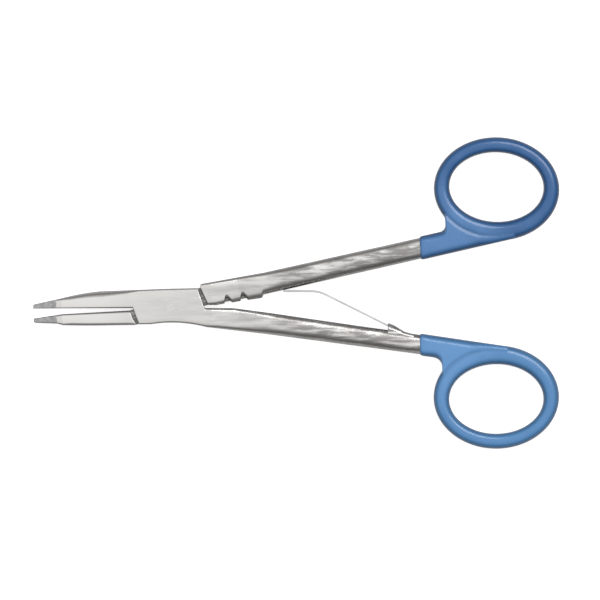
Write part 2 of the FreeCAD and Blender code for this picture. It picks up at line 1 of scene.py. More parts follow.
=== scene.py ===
"""A ligating clip applier, dressed for its portrait.

Two steel halves cross in a box lock. A leaf spring holds them open, and each finger ring
wears a dipped blue coating. All sizes are millimetres in each half's own closed frame: x
along the closure line from the pivot towards the rings, y away from it, z up from mid-height.
"""
import logging
import math
from dataclasses import dataclass, field
from enum import Enum

import bpy
import numpy as np
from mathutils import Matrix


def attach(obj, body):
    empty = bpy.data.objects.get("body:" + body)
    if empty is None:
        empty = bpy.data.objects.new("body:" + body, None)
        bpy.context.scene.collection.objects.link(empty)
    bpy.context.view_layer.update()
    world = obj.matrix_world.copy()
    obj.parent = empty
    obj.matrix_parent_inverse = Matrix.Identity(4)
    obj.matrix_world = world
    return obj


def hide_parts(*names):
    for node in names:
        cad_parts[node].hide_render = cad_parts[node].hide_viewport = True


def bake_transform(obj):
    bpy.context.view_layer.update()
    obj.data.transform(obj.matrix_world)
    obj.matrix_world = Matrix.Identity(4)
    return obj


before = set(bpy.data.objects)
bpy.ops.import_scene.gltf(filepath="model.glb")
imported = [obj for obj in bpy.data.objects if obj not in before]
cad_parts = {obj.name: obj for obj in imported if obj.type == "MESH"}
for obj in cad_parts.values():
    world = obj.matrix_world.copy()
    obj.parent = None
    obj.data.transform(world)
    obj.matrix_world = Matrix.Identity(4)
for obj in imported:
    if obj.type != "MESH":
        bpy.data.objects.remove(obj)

LOG = logging.getLogger("clip_applier")
MM = 0.001
MID_HEIGHT = 2.8
OPEN_DEGREES = 3.0
KNOT_PAIR = 0.04  # how far the two stations at a knot stand from it
GROOVE_END = 0.3  # length over which the clip groove runs out
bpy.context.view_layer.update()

Points = np.ndarray
Spot = tuple[float, float]
Knots = list[Spot]
Triple = tuple[float, float, float]
Colour = Triple
Socket = bpy.types.NodeSocket
Material = bpy.types.Material
Piece = bpy.types.Object
WHITE = (1.0, 1.0, 1.0)


class Side(Enum):
    """Which of the two halves a piece belongs to."""

    BOX = "box"
    PASS = "pass"

    def turn(self) -> float:
        """How far the half is turned about the pivot, in radians."""
        return math.radians(OPEN_DEGREES) if self is Side.PASS else 0.0

    def place(self, points: Points) -> Points:
        """Carry points from the half's own closed frame into the row frame, in metres.

        The pass half is mirrored across the closure line and turned about the pivot by the
        opening angle; both halves are lifted to mid-height.

        Args:
            points: Array of x, y, z rows in millimetres.

        Returns:
            The same rows in metres in the row frame.
        """
        moved = np.array(points, float)
        if self is Side.PASS:
            x, y = moved[:, 0].copy(), -moved[:, 1]
            c, s = math.cos(self.turn()), math.sin(self.turn())
            moved[:, 0], moved[:, 1] = c * x - s * y, s * x + c * y
        moved[:, 2] += MID_HEIGHT
        return moved * MM


def linked(name: str, data: bpy.types.ID) -> Piece:
    """Make an object of this data and put it in the scene."""
    piece = bpy.data.objects.new(name, data)
    bpy.context.scene.collection.objects.link(piece)
    return piece


@dataclass
class Surface:
    """A mesh under construction: points, quads or longer faces, and values per point."""

    points: Points
    faces: list[list[int]]
    values: dict[str, Points] = field(default_factory=dict)

    def joined(self, other: "Surface") -> "Surface":
        """Put another surface beside this one.

        Args:
            other: The surface to add.

        Returns:
            One surface that holds both.
        """
        shift = len(self.points)
        faces = self.faces + [[index + shift for index in face] for face in other.faces]
        values = {name: np.concatenate([part.values.get(name, np.zeros(len(part.points)))
                                        for part in (self, other)])
                  for name in set(self.values) | set(other.values)}
        return Surface(np.vstack([self.points, other.points]), faces, values)

    def outward(self) -> "Surface":
        """Turn every face round when the enclosed volume comes out negative.

        Its sign is that of the sum, over a fan of triangles of each face, of the triple
        product of the corners.

        Returns:
            This surface with its faces pointing out.
        """
        corners = np.array([(face[0], face[i], face[i + 1]) for face in self.faces
                            for i in range(1, len(face) - 1)])
        a, b, c = (self.points[corners[:, k]] for k in range(3))
        if np.einsum("ij,ij->i", a, np.cross(b, c)).sum() < 0:
            self.faces = [face[::-1] for face in self.faces]
        return self

    def to_object(self, name: str, side: Side, sharp_degrees: float = 38.0) -> Piece:
        """Make the Blender object, in the row frame with its place in its mesh.

        Args:
            name: Name of the piece.
            side: The half whose frame the points are in.
            sharp_degrees: Edges that turn by more than this stay crisp.

        Returns:
            The linked object.
        """
        placed = Surface(side.place(self.points), self.faces, self.values).outward()
        mesh = bpy.data.meshes.new(name)
        mesh.from_pydata(placed.points.tolist(), [], placed.faces)
        for key, value in placed.values.items():
            layer = mesh.attributes.new(key, "FLOAT", "POINT")
            layer.data.foreach_set("value", np.asarray(value, np.float32))
        mesh.polygons.foreach_set("use_smooth", np.ones(len(mesh.polygons), bool))
        mesh.set_sharp_from_angle(angle=math.radians(sharp_degrees))
        mesh.update()
        return linked(name, mesh)


def woven(x: Points, y: Points, z: Points, closed: bool = False) -> Surface:
    """Weave sections into a closed surface, with quads between neighbouring ones.

    Args:
        x: A row for each section and a column for each of its points, which run round.
        y: The same for y; each of the three may be short where it repeats.
        z: The same for z.
        closed: The last section joins the first; otherwise both ends are filled in.

    Returns:
        The surface.
    """
    grid = np.stack(np.broadcast_arrays(x, y, z), axis=-1)
    rows, columns = grid.shape[:2]
    row = np.arange(rows if closed else rows - 1)[:, None]
    column = np.arange(columns)[None, :]
    after, below = (column + 1) % columns, (row + 1) % rows
    quads = np.stack([row * columns + column, row * columns + after,
                      below * columns + after, below * columns + column], axis=-1)
    faces = quads.reshape(-1, 4).tolist()
    if not closed:
        faces += [list(range(columns))[::-1], list(range((rows - 1) * columns, rows * columns))]
    return Surface(grid.reshape(-1, 3), faces)


def superellipse(count: int, power: float) -> tuple[Points, Points]:
    """Cosine and sine at even steps round a circle, raised to a power, their signs kept."""
    turn = np.linspace(0, 2 * math.pi, count, endpoint=False)
    return tuple(np.sign(part) * np.abs(part) ** power for part in (np.cos(turn), np.sin(turn)))


def normals(line: Points) -> Points:
    """Unit normals to the left of a line of points."""
    along = np.gradient(line, axis=0)
    along /= np.linalg.norm(along, axis=1, keepdims=True)
    return np.stack([-along[:, 1], along[:, 0]], axis=-1)


def knotted(x: Points, y: Points) -> Knots:
    """Pair up two arrays as knots."""
    return list(zip(x.tolist(), y.tolist()))


def bowed(start: Spot, middle: Spot,
          end: Spot, count: int = 9) -> Knots:
    """Knots along the parabola through three points of an edge.

    Each height is the sum of the three heights weighted by the Lagrange polynomials of x.

    Args:
        start: First point.
        middle: Point that the edge bows through.
        end: Last point.
        count: Knots from start to end.

    Returns:
        The knots in order.
    """
    x = np.linspace(start[0], end[0], count)
    x0, x1, x2 = start[0], middle[0], end[0]
    y = (start[1] * (x - x1) * (x - x2) / ((x0 - x1) * (x0 - x2))
         + middle[1] * (x - x0) * (x - x2) / ((x1 - x0) * (x1 - x2))
         + end[1] * (x - x0) * (x - x1) / ((x2 - x0) * (x2 - x1)))
    return knotted(x, y)


@dataclass
class Bar:
    """A forged bar: a rounded rectangle carried along x, with edges given by knots.

    At each station the section spans from low(x) to high(x) in y and is half(x) thick to both
    sides of mid-height. Its corners are quarter circles of radius corner(x) at the high edge
    and low_corner(x) at the low one. Its broad faces fall off from the middle by the crown, as
    the square of the distance from it. Where the high edge is notched, the crown follows the
    spine in its place.
    """

    low: Knots
    high: Knots
    half: Knots
    corner: Knots
    tone: Knots
    crown: Knots = field(default_factory=lambda: [(0.0, 0.03)])
    low_corner: Knots | None = None
    spine: Knots | None = None
    spacing: float = 0.45
    groove: Triple | None = None

    def stations(self) -> Points:
        """The places along x: even steps, and a close pair at each knot of the edges."""
        start = max(self.low[0][0], self.high[0][0])
        end = min(self.low[-1][0], self.high[-1][0])
        even = np.linspace(start, end, int((end - start) / self.spacing) + 2)
        knots = [x for line in (self.low, self.high, self.half) for x, _ in line]
        if self.groove:
            knots += [self.groove[0], self.groove[0] + GROOVE_END]
        near = np.array([x + shift for x in knots for shift in (-KNOT_PAIR, KNOT_PAIR)])
        inside = near[(near > start + KNOT_PAIR / 2) & (near < end - KNOT_PAIR / 2)]
        return np.unique(np.round(np.concatenate([even, inside]), 4))

    def section(self) -> tuple[Points, ...]:
        """The section in unit terms: y side, z side, corner cosine, corner sine and rim share.

        Four quarter circles stand at the corners with even flats between them. A point of the
        rim lies half way round its quarter circle.

        Returns:
            Five arrays, one entry per point of the section.
        """
        quarter = np.linspace(0.0, math.pi / 2, 7)
        flat = np.linspace(1.0, -1.0, 9)[1:-1]
        # rim share: where the steel colour gets painted shade on its rounded edges
        rim = np.sin(2 * quarter) ** 0.6
        parts = []
        for k, (y, z) in enumerate(((1, 1), (-1, 1), (-1, -1), (1, -1))):
            angle, turn = quarter + k * math.pi / 2, (k + 1) * math.pi / 2
            parts.append(np.broadcast_arrays(y, z, np.cos(angle), np.sin(angle), rim))
            y, z = (y * flat, z) if k % 2 == 0 else (y, z * flat)
            parts.append(np.broadcast_arrays(y, z, math.cos(turn), math.sin(turn), 0.0))
        return tuple(np.concatenate(parts, axis=1))

    def surface(self) -> Surface:
        """Carry the section along the stations.

        y is the middle plus the y side times the half width less the corner, plus the corner
        times the cosine. z follows in the same way from the thickness and the sine. The groove
        pushes the inner face back where z is within its half width.

        Returns:
            The closed surface with its rim and tone values.
        """
        x = self.stations()[:, None]
        low, high, half, corner, low_corner, tone, crown, spine = (
            np.interp(x, *zip(*line)) for line in (
                self.low, self.high, self.half, self.corner, self.low_corner or self.corner,
                self.tone, self.crown, self.spine or self.high))
        high = np.maximum(high, low + 0.02)
        wide = (high - low) / 2
        side_y, side_z, cosine, sine, rim = self.section()
        corner, low_corner = (np.minimum.reduce([radius, 0.95 * wide, 0.92 * half])
                              for radius in (corner, low_corner))
        corner = (corner * (1 + side_y) + low_corner * (1 - side_y)) / 2
        y = (low + high) / 2 + side_y * (wide - corner) + corner * cosine
        z = side_z * (half - corner) + corner * sine
        if self.groove:
            back, gap, depth = self.groove
            inner = (side_y == -1) & (np.abs(side_z) < 1)
            floor = inner & (np.abs(side_z) < 0.6)
            z = np.where(inner & ~floor, np.sign(side_z) * gap, z)
            z = np.where(floor, side_z / 0.5 * gap * 0.98, z)
            y = y + np.where(floor, depth * np.clip((back - x) / GROOVE_END, 0, 1), 0)
        across = np.clip((y - (spine + low) / 2) / np.maximum((spine - low) / 2, 0.05), -1, 1)
        z = z * (1 - crown / half * across ** 2)
        surface = woven(x, y, z)
        # rim and tone carry the painted shade of the steel colour
        for name, value in (("rim", rim), ("tone", tone)):
            surface.values[name] = np.broadcast_to(value, y.shape).ravel()
        return surface


@dataclass(frozen=True)
class Oval:
    """An ellipse in the plan, turned about its centre."""

    centre: Spot
    halves: Spot
    tilt: float

    def at(self, angle: Points) -> Points:
        """Points of the ellipse: the centre plus the turned cosine and sine of its halves.

        Args:
            angle: Parameters in radians.

        Returns:
            Array of x, y rows.
        """
        c, s = math.cos(math.radians(self.tilt)), math.sin(math.radians(self.tilt))
        u, v = self.halves[0] * np.cos(angle), self.halves[1] * np.sin(angle)
        return np.stack([self.centre[0] + c * u - s * v, self.centre[1] + s * u + c * v], axis=-1)

    def touched_from(self, start: Spot) -> Spot:
        """Where a line from the left just touches the top of the ellipse.

        Of all points of the ellipse, it is the one seen at the greatest slope from the start.

        Args:
            start: Where the line starts.

        Returns:
            The slope of the line and the x where it touches.
        """
        points = self.at(np.linspace(0, 2 * math.pi, 3600, endpoint=False))
        slopes = (points[:, 1] - start[1]) / (points[:, 0] - start[0])
        best = int(np.argmax(slopes))
        return float(slopes[best]), float(points[best, 0])


@dataclass
class Loop:
    """Sizes of one finger ring over its coating, and of the shank end that runs into it."""

    reach: float
    drop: float
    tilt: float
    half_length: float = 13.65
    half_width: float = 10.05
    end_band: float = 4.55
    side_band: float = 4.95
    inward_shift: float = 0.55

    def opening(self) -> Oval:
        """The hole for a finger."""
        return Oval((self.reach, -self.drop), (self.half_length, self.half_width), self.tilt)

    def outline(self, hidden: float = 0.0) -> Oval:
        """The outer edge, drawn in by what the coating hides."""
        halves = (self.half_length + self.end_band - hidden,
                  self.half_width + self.side_band - hidden)
        return Oval((self.reach, -self.drop + self.inward_shift), halves, self.tilt)


@dataclass
class ShankLines:
    """The straight edges of a shank behind the flat part of its forging."""

    flat_end: float = 28.0
    inner: float = -1.95
    outer: float = -8.25
    coating_start: float = 73.4
    outer_at_coating: float = -15.05
    hidden_end: float = 79.0
    coating: float = 0.4

    def outer_slope(self) -> float:
        """Fall of the outer edge for each millimetre along x."""
        return (self.outer_at_coating - self.outer) / (self.coating_start - self.flat_end)

    def coated_edge(self, x: Points) -> Points:
        """Height of the coated outer edge at x."""
        return (self.outer_at_coating - self.coating
                + self.outer_slope() * (x - self.coating_start))

    def inner_knots(self, loop: Loop) -> Knots:
        """The bare inner edge, which runs to where it touches the ring."""
        slope, _ = loop.outline(self.coating).touched_from((self.flat_end, self.inner))
        return [(self.flat_end, self.inner),
                (self.hidden_end, self.inner + slope * (self.hidden_end - self.flat_end))]

    def outer_knots(self) -> Knots:
        """The bare outer edge, which runs into the coating."""
        run = self.hidden_end - self.flat_end
        return [(self.flat_end, self.outer),
                (self.hidden_end, self.outer + self.outer_slope() * run)]


BOX_LOOP = Loop(94.0, 28.24, -0.5)
PASS_LOOP = Loop(96.77, 28.19, 6.05)
SHANK = ShankLines()
PASS_STEP = [(27.3, -1.85)]


@dataclass(frozen=True)
class NodeBench:
    """A node tree to work in, with short ways to add nodes and to fill or join sockets."""

    tree: bpy.types.NodeTree

    def fill(self, socket: Socket, value: object) -> None:
        """Give a socket its value: another socket, a number, a vector or a colour."""
        if isinstance(value, Socket):
            self.tree.links.new(value, socket)
        else:
            socket.default_value = (*value, 1.0) if socket.type == "RGBA" else value

    def filled(self, node: bpy.types.Node, **inputs: object) -> bpy.types.Node:
        """Fill a node's inputs by name, with spaces written as underscores."""
        for name, value in inputs.items():
            self.fill(node.inputs[name.replace("_", " ")], value)
        return node

    def node(self, kind: str, **inputs: object) -> bpy.types.Node:
        """Add a node of a kind and fill its inputs in the same way."""
        return self.filled(self.tree.nodes.new(kind), **inputs)

    def noise(self, place: Socket, **inputs: object) -> Socket:
        """Cloudy noise at a place, with the node's inputs by name."""
        return self.node("ShaderNodeTexNoise", Vector=place, **inputs).outputs["Fac"]

    def ramp(self, source: Socket, low: float, high: float,
             to_low: float, to_high: float) -> Socket:
        """Stretch a value from one range to another and clamp it.

        Args:
            source: Socket that gives the value.
            low: Value that maps to to_low.
            high: Value that maps to to_high.
            to_low: Result at low.
            to_high: Result at high.

        Returns:
            The result socket.
        """
        return self.node("ShaderNodeMapRange", Value=source, From_Min=low, From_Max=high,
                         To_Min=to_low, To_Max=to_high).outputs["Result"]

    def mixed(self, share: Socket, a: object, b: object) -> Socket:
        """Mix two colours, each a socket or a plain colour.

        Args:
            share: How much of the second colour shows.
            a: First colour.
            b: Second colour.

        Returns:
            The colour socket.
        """
        node = self.node("ShaderNodeMix")
        node.data_type = "RGBA"
        for number, value in ((0, share), (6, a), (7, b)):
            self.fill(node.inputs[number], value)
        return node.outputs[2]

    def maths(self, operation: str, a: object, b: object,
              kind: str = "ShaderNodeMath", result: str = "Value") -> Socket:
        """Work out one result from two values.

        Args:
            operation: Name of the sum, such as ADD or MULTIPLY.
            a: First value.
            b: Second value.
            kind: Node type, for numbers or for vectors.
            result: Name of the output that holds the result.

        Returns:
            The result socket.
        """
        node = self.node(kind)
        node.operation = operation
        for number, value in enumerate((a, b)):
            self.fill(node.inputs[number], value)
        return node.outputs[result]


@dataclass(frozen=True)
class GrainNodes:
    """Shared effect: fine drawn lines with slow drifts of tone, on any vector."""

    name: str = "drawn_grain"
    streak_stretch: Triple = (0.16, 1.0, 1.0)
    streak_scale: float = 620.0
    mark_scale: float = 190.0

    def tree(self) -> bpy.types.NodeTree:
        """Build the node group once and hand it out after that.

        Two noises are stretched along x. The fine one gives the height of the polishing lines,
        the slow one, stretched less, gives streaks. A third, even noise gives handling marks.

        Returns:
            The group with Vector, Lines and Stretch in and Height, Drift and Cloud out.
        """
        if self.name in bpy.data.node_groups:
            return bpy.data.node_groups[self.name]
        group = bpy.data.node_groups.new(self.name, "ShaderNodeTree")
        for name in ("Vector", "Lines", "Stretch", "Height", "Drift", "Cloud"):
            group.interface.new_socket(
                name=name, in_out="INPUT" if name in ("Vector", "Lines", "Stretch") else "OUTPUT",
                socket_type="NodeSocketVector" if name == "Vector" else "NodeSocketFloat")
        bench = NodeBench(group)
        entry = bench.node("NodeGroupInput").outputs
        squeeze = bench.node("ShaderNodeCombineXYZ", X=entry["Stretch"], Y=1.0, Z=1.0)
        stretched, streaked = (
            bench.maths("MULTIPLY", entry["Vector"], by, "ShaderNodeVectorMath", "Vector")
            for by in (squeeze.outputs["Vector"], self.streak_stretch))
        bench.node(
            "NodeGroupOutput",
            Height=bench.noise(stretched, Scale=entry["Lines"], Detail=4.0, Roughness=0.62),
            Drift=bench.noise(streaked, Scale=self.streak_scale, Detail=3.0, Roughness=0.6),
            Cloud=bench.noise(entry["Vector"], Scale=self.mark_scale, Detail=5.0, Roughness=0.7))
        return group


@dataclass(frozen=True)
class MaterialBench(NodeBench):
    """A new material, with ways to reach its Principled shader and its common sources."""

    material: Material

    @classmethod
    def named(cls, name: str) -> "MaterialBench":
        """Start a material that uses nodes."""
        material = bpy.data.materials.new(name)
        material.use_nodes = True
        return cls(material.node_tree, material)

    def finished(self, **inputs: object) -> Material:
        """Fill the Principled shader's inputs in the same way and hand out the material."""
        self.filled(self.tree.nodes["Principled BSDF"], **inputs)
        return self.material

    def place(self) -> Socket:
        """The place on the object, in metres in the row frame."""
        return self.node("ShaderNodeTexCoord").outputs["Object"]

    def turned_position(self, side: Side) -> Socket:
        """The place on the object, turned so that its x runs along the half."""
        return self.node("ShaderNodeMapping", Vector=self.place(),
                         Rotation=(0, 0, -side.turn())).outputs["Vector"]

    def value(self, name: str) -> Socket:
        """A number that the mesh carries at each point."""
        node = self.node("ShaderNodeAttribute")
        node.attribute_name = name
        return node.outputs["Fac"]

    def grain(self, side: Side, lines: float, stretch: float) -> bpy.types.NodeOutputs:
        """The shared grain along one half.

        Args:
            side: The half, whose direction the drawn lines follow.
            lines: Scale of the lines across the metal.
            stretch: Share of that scale along the metal.

        Returns:
            The outputs Height, Drift and Cloud.
        """
        group = self.node("ShaderNodeGroup")
        group.node_tree = GrainNodes().tree()
        return self.filled(group, Vector=self.turned_position(side), Lines=lines,
                           Stretch=stretch).outputs

    def bump(self, height: Socket, strength: float, depth: float, **under: Socket) -> Socket:
        """Relief on the surface.

        Args:
            height: Socket that gives the height.
            strength: Share of the relief that shows.
            depth: Depth of the relief in millimetres.
            **under: Normal, where this relief lies over another.

        Returns:
            The normal socket.
        """
        return self.node("ShaderNodeBump", Height=height, Strength=strength,
                         Distance=depth * MM, **under).outputs["Normal"]


@dataclass(frozen=True)
class SteelFinish:
    """Stainless steel: satin on the box. Its colour carries painted shade: brighter on the jaws,
    darker along the shanks and on the rounded edges.
    """

    name: str
    bright: Colour = (0.79, 0.777, 0.757)
    shaded_colour: Colour = (0.31, 0.3, 0.29)
    rim_shade: Colour = (0.42, 0.41, 0.4)
    roughness: float = 0.27
    spread: float = 0.035
    lines: float = 2600.0
    stretch: float = 0.05
    relief: float = 0.002
    waves: float = 0.5
    streaks: float = 1.1

    def material(self, side: Side) -> Material:
        """Build the material for one half.

        The tone that the mesh carries turns the bright steel colour into its painted shade. The
        slow drift of the grain is added to it in proportion to its square, so that the shaded
        steel is streaked and waved too.

        Args:
            side: The half, whose direction the drawn lines follow.

        Returns:
            The material.
        """
        bench = MaterialBench.named(f"{self.name}_{side.value}")
        grain = bench.grain(side, self.lines, self.stretch)
        # tone: share of painted shade in the steel colour
        tone = bench.value("tone")
        drift = bench.ramp(grain["Drift"], 0.38, 0.62, -self.streaks, self.streaks)
        square = bench.maths("MULTIPLY", tone, tone)
        streak = bench.maths("MULTIPLY", drift, square)
        body = bench.mixed(bench.maths("ADD", tone, streak), self.bright, self.shaded_colour)
        # painted shade: the rounded edges are darkened towards the rim shade colour
        rim = bench.ramp(bench.value("rim"), 0.1, 0.8, 0.0, 0.8)
        wave = bench.bump(bench.maths("MULTIPLY", grain["Drift"], square), 0.5, self.waves)
        return bench.finished(
            Base_Color=bench.mixed(rim, body, self.rim_shade),
            Roughness=bench.ramp(grain["Cloud"], 0.3, 0.7, self.roughness - self.spread,
                                 self.roughness + self.spread),
            Normal=bench.bump(grain["Height"], 0.35, self.relief, Normal=wave),
            Metallic=1.0)


@dataclass(frozen=True)
class DarkFingerFinish:
    """The darker grey gripping fingers, matte and pitted like fine sandpaper."""

    name: str = "dark_fingers"
    light: Colour = (0.55, 0.55, 0.548)
    dark: Colour = (0.37, 0.37, 0.372)
    pit_scale: float = 5200.0
    patch_scale: float = 900.0

    def material(self, side: Side) -> Material:
        """Build the material for one half."""
        bench = MaterialBench.named(f"{self.name}_{side.value}")
        place = bench.turned_position(side)
        pits = bench.noise(place, Scale=self.pit_scale, Detail=3.0, Roughness=0.7)
        patches = bench.noise(place, Scale=self.patch_scale, Detail=2.0)
        share = bench.ramp(patches, 0.35, 0.65, 0.0, 1.0)
        return bench.finished(
            Base_Color=bench.mixed(share, self.light, self.dark),
            Roughness=bench.ramp(pits, 0.3, 0.7, 0.5, 0.75),
            Normal=bench.bump(pits, 0.6, 0.04), Metallic=0.85)


@dataclass(frozen=True)
class DippedFinish:
    """Glossy blue plastic that the rings were dipped in, with faint sags and dust pips.

    It is lighter towards the web between ring and shank and deeper away from it. Its upright
    sides carry painted shade, a deeper blue.
    """

    name: str
    blue: Colour
    deep: Colour
    web: Triple
    web_fade_reach: Spot = (6.0, 17.0)
    roughness: float = 0.24
    sag_scale: float = 130.0
    pip_scale: float = 3800.0
    side_shade_depth: float = 0.45
    side_share: float = 0.9
    side_heights: Spot = (1.9, 2.66)

    def sides(self, bench: MaterialBench) -> Socket:
        """How much of the painted side shade shows: most at mid-height, none on the broad faces.
        """
        up = bench.node("ShaderNodeSeparateXYZ", Vector=bench.place()).outputs["Z"]
        near, far = self.side_heights
        above = bench.ramp(up, (MID_HEIGHT + near) * MM, (MID_HEIGHT + far) * MM,
                           self.side_share, 0.0)
        below = bench.ramp(up, (MID_HEIGHT - far) * MM, (MID_HEIGHT - near) * MM, 0.0, 1.0)
        return bench.maths("MULTIPLY", above, below)

    def material(self, side: Side) -> Material:
        """Build the material for one half."""
        bench = MaterialBench.named(f"{self.name}_{side.value}")
        place = bench.turned_position(side)
        sags = bench.noise(place, Scale=self.sag_scale, Detail=2.0)
        pips = bench.noise(place, Scale=self.pip_scale, Detail=2.0, Roughness=0.6)
        web = tuple(part * MM for part in self.web)
        away = bench.maths("DISTANCE", bench.place(), web, "ShaderNodeVectorMath")
        near, far = (reach * MM for reach in self.web_fade_reach)
        share = bench.maths("ADD", bench.ramp(away, near, far, -0.25, 0.75),
                            bench.ramp(sags, 0.35, 0.65, 0.0, 0.35))
        face = bench.mixed(share, self.blue, self.deep)
        # painted shade: a darker blue on the upright sides
        side_shade = tuple(self.side_shade_depth * part for part in self.deep)
        return bench.finished(
            Base_Color=bench.mixed(self.sides(bench), face, side_shade),
            Roughness=bench.ramp(sags, 0.3, 0.7, self.roughness - 0.05, self.roughness + 0.08),
            Normal=bench.bump(pips, 0.12, 0.03, Normal=bench.bump(sags, 0.25, 0.25)),
            Coat_Weight=0.3, Coat_Roughness=0.12, IOR=1.5)


@dataclass(frozen=True)
class TurnedFinish:
    """The pin's end, faced on a lathe: fine rings round its axis."""

    name: str = "turned_pin"
    tone: Colour = (0.7, 0.69, 0.672)
    darker: float = 0.92
    ring_scale: float = 2400.0
    cloud_scale: float = 1500.0

    def material(self) -> Material:
        """Build the material."""
        bench = MaterialBench.named(self.name)
        place = bench.place()
        wave = bench.node("ShaderNodeTexWave", Vector=place, Scale=self.ring_scale,
                          Distortion=0.4)
        wave.wave_type = "RINGS"
        wave.rings_direction = "Z"
        rings = wave.outputs["Fac"]
        shade = bench.ramp(bench.noise(place, Scale=self.cloud_scale, Detail=3.0),
                           0.3, 0.7, 0.0, 1.0)
        darker = tuple(self.darker * part for part in self.tone)
        return bench.finished(
            Base_Color=bench.mixed(shade, self.tone, darker),
            Roughness=bench.ramp(rings, 0.0, 1.0, 0.24, 0.32),
            Normal=bench.bump(rings, 0.3, 0.003), Metallic=1.0)


@dataclass(frozen=True)
class SpringFinish:
    """Rolled spring steel, bright, with lines along its length."""

    name: str = "rolled_spring"
    tone: Colour = (0.68, 0.685, 0.685)
    darker: float = 0.78
    lines: float = 3200.0
    stretch: float = 0.08

    def material(self) -> Material:
        """Build the material."""
        bench = MaterialBench.named(self.name)
        grain = bench.grain(Side.BOX, self.lines, self.stretch)
        darker = tuple(self.darker * part for part in self.tone)
        share = bench.ramp(grain["Drift"], 0.3, 0.7, 0.0, 1.0)
        return bench.finished(
            Base_Color=bench.mixed(share, self.tone, darker),
            Roughness=bench.ramp(grain["Cloud"], 0.3, 0.7, 0.22, 0.38),
            Normal=bench.bump(grain["Height"], 0.3, 0.01), Metallic=1.0)


@dataclass(frozen=True)
class Jaw:
    """Edges of one jaw, from the fingertip to the box."""

    root_rise: float
    neck_rise: float
    middle_rise: float
    inner_at_shoulder: float
    bow: float
    tip: float = -39.85
    finger_root: float = -33.15
    shoulder: float = -31.45
    curve: float = -20.5
    tip_rise: float = 1.75
    relief: float = 0.4
    nose_length: float = 0.9

    def outer_knots(self) -> Knots:
        """The outer edge: a quarter ellipse at the nose, straight runs and a bowed taper."""
        middle = (self.tip_rise + self.relief) / 2
        angle = np.linspace(0, math.pi / 2, 7)
        nose = knotted(self.tip + self.nose_length * (1 - np.cos(angle)),
                       middle + (self.tip_rise - middle) * np.sin(angle))
        half_way = ((self.shoulder + self.curve) / 2,
                    (self.neck_rise + self.middle_rise) / 2 + self.bow)
        return (nose + [(self.finger_root, self.root_rise)]
                + bowed((self.shoulder, self.neck_rise), half_way,
                        (self.curve, self.middle_rise)))

    def inner_knots(self) -> Knots:
        """The inner face from the tip to the shoulder."""
        return [(self.tip, self.relief), (self.shoulder, self.inner_at_shoulder)]


SKIN_DEPTH = 0.025  # how far the broad faces lie inside the solid
THICKNESS = [(x, half - SKIN_DEPTH) for x, half in (
    (-39.85, 1.04), (-33.15, 1.15), (-31.45, 1.55), (-11.9, 2.8), (11.9, 2.8), (19.9, 2.3),
    (90.0, 2.3))]
OUTER_JAW = [(-39.85, 0.3), (-33.2, 0.4), (-29.0, 1.3), (-20.0, 2.0), (-13.0, 1.3), (-9.6, 0.7)]
INNER_JAW = [(-39.85, 0.2), (-31.0, 0.3), (-12.0, 0.45)]
UPPER_EDGE = [(-9.0, 0.6), (9.0, 0.6), (12.0, 0.8), (24.0, 1.0), (31.0, 1.35), (90.0, 1.35)]
LOWER_EDGE = [(-9.0, 0.5), (9.0, 0.6), (14.0, 1.1), (24.0, 1.5), (31.0, 2.1), (90.0, 2.1)]
CROWN = [(-40.0, 0.05), (-12.0, 0.05), (12.0, 0.03), (20.0, 0.15), (36.0, 0.6), (90.0, 0.6)]
# Share of painted shade along a half: the steel colour darkens from the jaws to the shanks
PAINTED_SHADE = [(-39.85, 0.0), (-20.0, 0.0), (-8.0, 0.22), (9.0, 0.28), (12.0, 0.36), (26.0, 0.46),
        (45.0, 0.8), (90.0, 0.9)]
GROOVE = (-33.65, 0.45, 0.5)


@dataclass
class Half:
    """What both halves share: their finishes, and how these are put on."""

    steel: SteelFinish
    fingers: DarkFingerFinish

    def dress(self, piece: Piece, side: Side, root: float) -> None:
        """Put steel all over, and the darker finger finish on the faces in front of the finger's
        root.

        Args:
            piece: The half's steel.
            side: The half, whose x the faces are measured along.
            root: The x where the finger starts.
        """
        mesh = piece.data
        for finish in (self.steel, self.fingers):
            mesh.materials.append(finish.material(side))
        centres = np.empty(len(mesh.polygons) * 3)
        mesh.polygons.foreach_get("center", centres)
        x, y = centres.reshape(-1, 3)[:, :2].T / MM
        along = x * math.cos(side.turn()) + y * math.sin(side.turn())
        mesh.polygons.foreach_set("material_index", (along < root).astype(np.int32))
        mesh.update()


